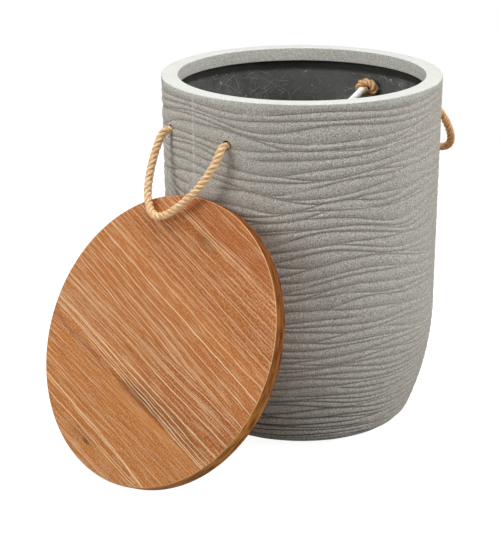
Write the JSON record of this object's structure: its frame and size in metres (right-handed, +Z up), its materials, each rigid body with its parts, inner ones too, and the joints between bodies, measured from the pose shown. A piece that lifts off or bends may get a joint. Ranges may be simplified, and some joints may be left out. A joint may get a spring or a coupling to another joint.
{
  "type": "outdoor storage side table",
  "caption": "Round cast storage drum with a wavy grooved wall, turned-in rim and rope handles, and a loose round wooden lid that serves as the table top, shown leaning against it.",
  "frame": {"origin": "centre of the drum's flat base, on the ground", "axes": "+Z up; X through the middles of the two rope handles, the left one at -X; the lid leans at -X"},
  "size_m": [0.6194, 0.4219, 0.484],
  "materials": {
    "cast_drum": "matte, sandy",
    "rope": "twisted natural fibre",
    "binding_tape": "matte white tape",
    "lid_wood": "brushed, limed grain",
    "batten_wood": "planed",
    "screw_steel": "zinc plated"
  },
  "bodies": {
    "drum": {"drum_shell": "cast_drum", "rope_knot_left_front": "rope", "rope_knot_left_back": "rope", "rope_knot_right_front": "rope", "rope_knot_right_back": "rope", "rope_tape_left_front": "binding_tape", "rope_tape_left_back": "binding_tape", "rope_tape_right_front": "binding_tape", "rope_tape_right_back": "binding_tape"},
    "lid": {"lid_board_1": "lid_wood", "lid_board_2": "lid_wood", "lid_board_3": "lid_wood", "lid_board_4": "lid_wood", "lid_board_5": "lid_wood", "lid_board_6": "lid_wood", "lid_batten_upper": "batten_wood", "lid_batten_lower": "batten_wood", "lid_batten_screws": "screw_steel"},
    "left_handle": {"rope_loop_left": "rope"},
    "right_handle": {"rope_loop_right": "rope"}
  },
  "joints": [
    {"name": "lid_slide", "type": "slide", "parent": "drum", "child": "lid", "axis": [0.1426, -0.9898, 0], "range_m": [0, 0.4]},
    {"name": "left_handle_swing", "type": "hinge", "parent": "drum", "child": "left_handle", "pos_m": [-0.18967, 0, 0.424], "axis": [0, 1, 0], "range_deg": [0, 125]},
    {"name": "right_handle_swing", "type": "hinge", "parent": "drum", "child": "right_handle", "pos_m": [0.18967, 0, 0.424], "axis": [0, -1, 0], "range_deg": [0, 120]}
  ]
}
